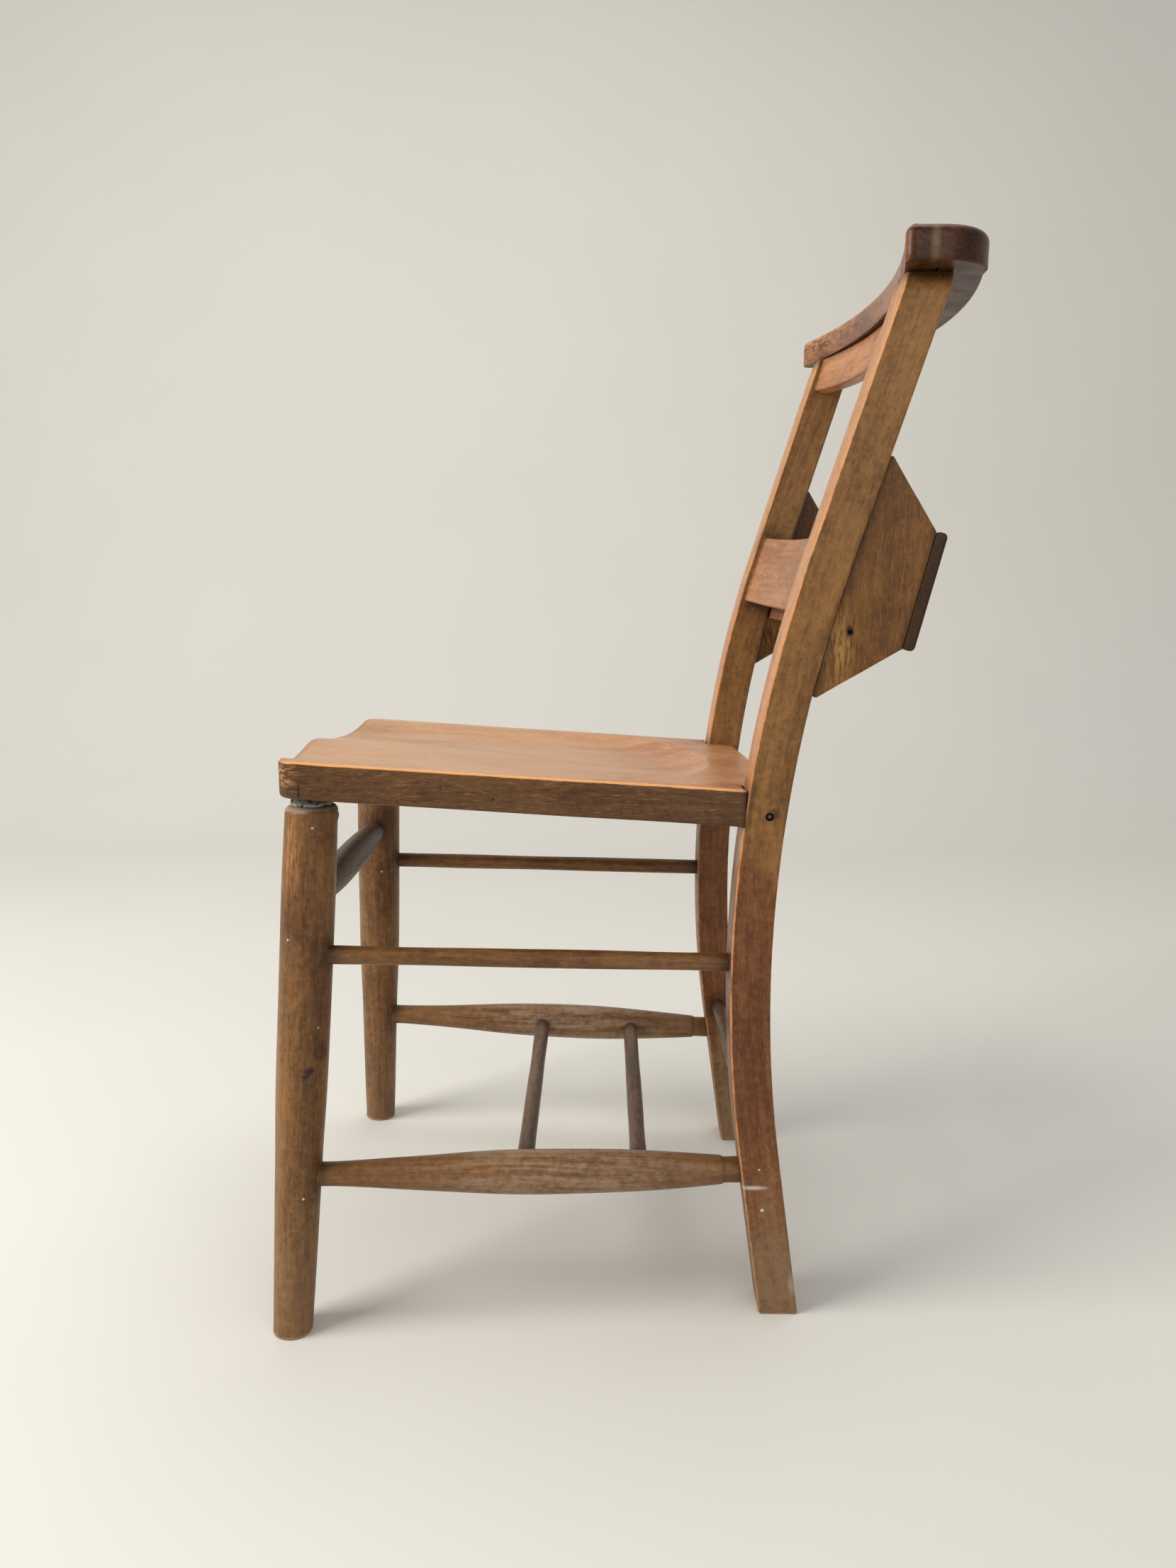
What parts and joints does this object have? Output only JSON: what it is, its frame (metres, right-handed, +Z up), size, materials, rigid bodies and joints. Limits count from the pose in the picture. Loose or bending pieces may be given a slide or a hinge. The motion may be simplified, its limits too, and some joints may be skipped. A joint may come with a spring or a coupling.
{
  "type": "chair",
  "caption": "Wooden chapel chair with turned front legs, sawn back posts, hollowed seat and a book box on the back.",
  "frame": {"origin": "floor level, at the middle of the overall width and depth", "axes": "+Z up, the sitter faces -Y, the sitter's left is +X"},
  "size_m": [0.429, 0.569, 0.856],
  "materials": {
    "varnished_seat": "worn satin varnish",
    "dark_turned_wood": "worn dark varnish",
    "post_wood": "worn satin varnish",
    "crest_wood": "worn satin varnish",
    "pale_rail_wood": "satin varnish",
    "box_wood": "thin dull varnish",
    "joint_putty": "dull hardened putty",
    "dark_iron": "dark rusted"
  },
  "bodies": {
    "root": {"seat": "varnished_seat", "front_leg_left": "dark_turned_wood", "front_leg_right": "dark_turned_wood", "rear_post_left": "post_wood", "rear_post_right": "post_wood", "crest_rail": "crest_wood", "upper_back_rail": "pale_rail_wood", "mid_back_rail": "pale_rail_wood", "front_stretcher": "dark_turned_wood", "upper_side_stretcher_left": "dark_turned_wood", "upper_side_stretcher_right": "dark_turned_wood", "lower_side_stretcher_left": "dark_turned_wood", "lower_side_stretcher_right": "dark_turned_wood", "cross_stretcher_front": "dark_turned_wood", "cross_stretcher_rear": "dark_turned_wood", "rear_stretcher": "dark_turned_wood", "book_box_side_left": "box_wood", "book_box_side_right": "box_wood", "book_box_back": "box_wood", "book_box_floor": "box_wood", "leg_joint_filler": "joint_putty", "seat_screws": "dark_iron", "box_floor_nails": "dark_iron", "box_back_nails": "dark_iron"}
  },
  "joints": []
}
